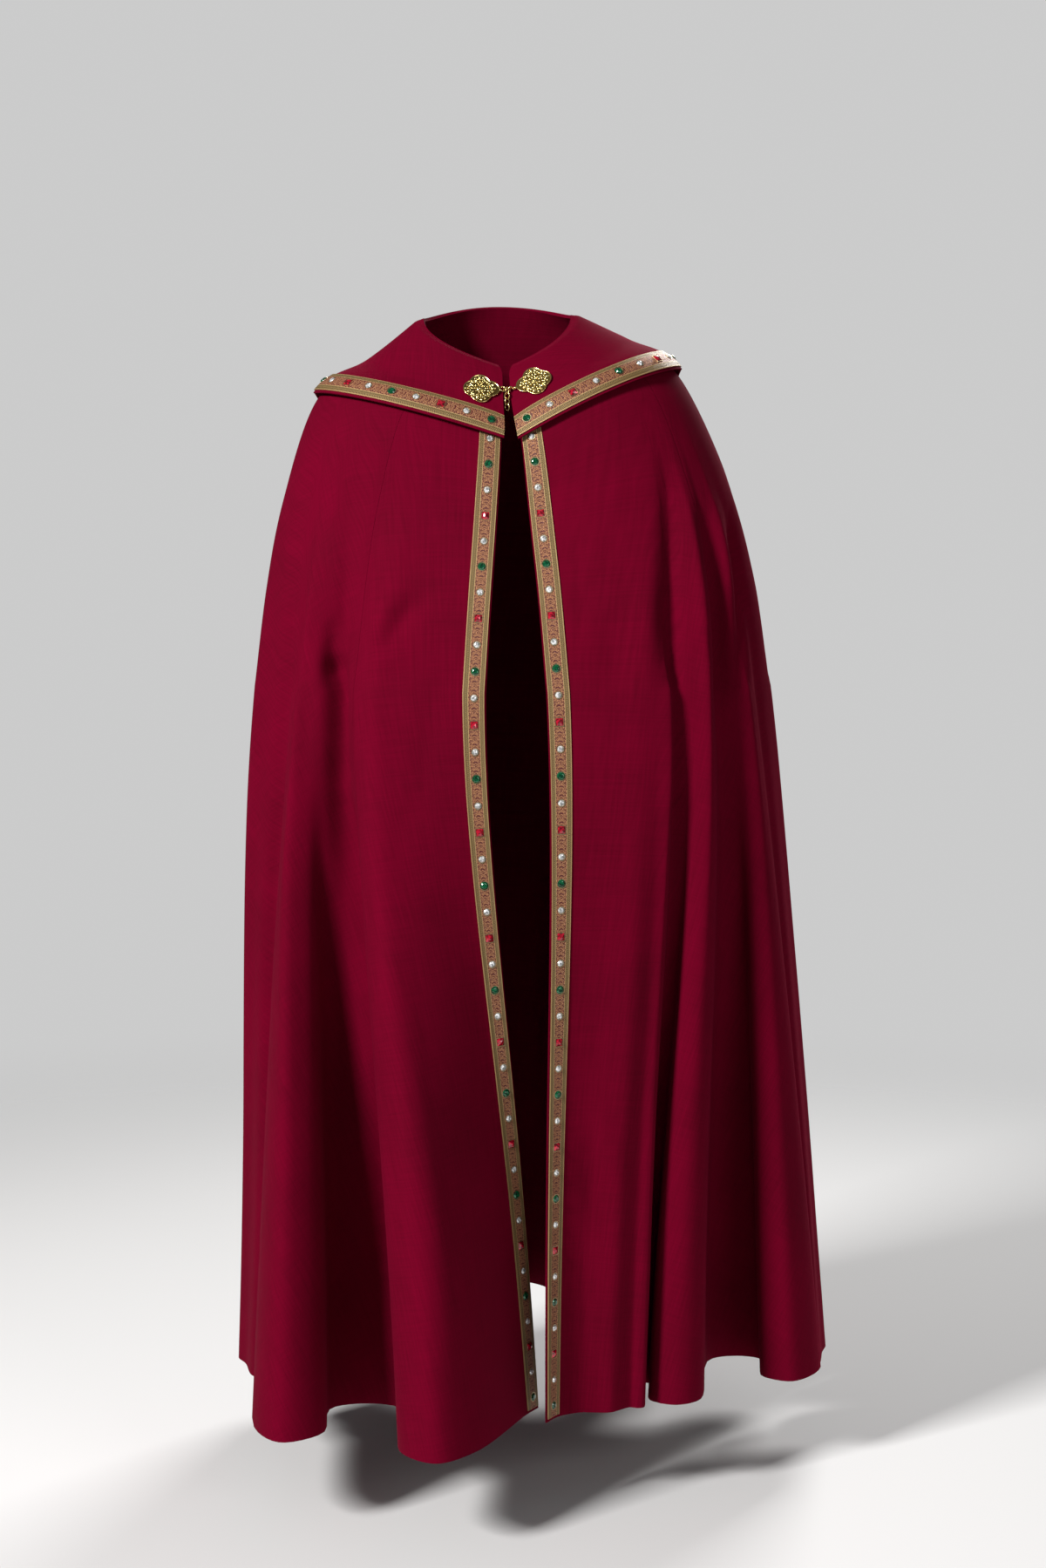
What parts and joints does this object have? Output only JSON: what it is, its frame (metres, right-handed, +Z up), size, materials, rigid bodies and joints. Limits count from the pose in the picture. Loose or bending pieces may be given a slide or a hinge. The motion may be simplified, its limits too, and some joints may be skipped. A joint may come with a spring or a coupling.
{
  "type": "cope",
  "caption": "Worn semicircular liturgical cape with a turned-down shoulder collar, jewelled galloon edges and a two-plate hook clasp with a free chain tail.",
  "frame": {"origin": "between the wearer's shoulders, at the height of the neck's sides and on the neck's centre plane, where the wearer holds the garment up", "axes": "+Z up, -Y the garment's front, -X the wearer's right"},
  "size_m": [0.807, 0.812, 1.4205],
  "materials": {
    "cloth": "crimson wool-like plain weave with a soft sheen",
    "galloon": "woven gold and dark red braid set with small cut stones",
    "gilt": "polished"
  },
  "bodies": {
    "garment": {"right_front": "cloth", "back": "cloth", "left_front": "cloth", "collar": "cloth", "right_front_band": "galloon", "left_front_band": "galloon", "collar_band": "galloon", "clasp_plate_right": "gilt", "clasp_plate_left": "gilt", "clasp_ring": "gilt"},
    "tail_1": {"tail_link_1": "gilt"},
    "tail_2": {"tail_link_2": "gilt"},
    "tail_3": {"tail_link_3": "gilt"},
    "tail_4": {"tail_link_4": "gilt"}
  },
  "joints": [
    {"name": "tail_swing_1", "type": "hinge", "parent": "garment", "child": "tail_1", "pos_m": [0.01298, -0.09962, -0.1007], "axis": [1, 0, 0], "range_deg": [-35, 1]},
    {"name": "tail_swing_2", "type": "hinge", "parent": "tail_1", "child": "tail_2", "pos_m": [0.01298, -0.09962, -0.10648], "axis": [0.4695, 0.8829, 0], "range_deg": [-8, 8]},
    {"name": "tail_swing_3", "type": "hinge", "parent": "tail_2", "child": "tail_3", "pos_m": [0.01298, -0.09962, -0.11333], "axis": [0.788, -0.6157, 0], "range_deg": [-8, 8]},
    {"name": "tail_swing_4", "type": "hinge", "parent": "tail_3", "child": "tail_4", "pos_m": [0.01298, -0.09962, -0.12018], "axis": [0.6691, 0.7431, 0], "range_deg": [-8, 8]}
  ]
}
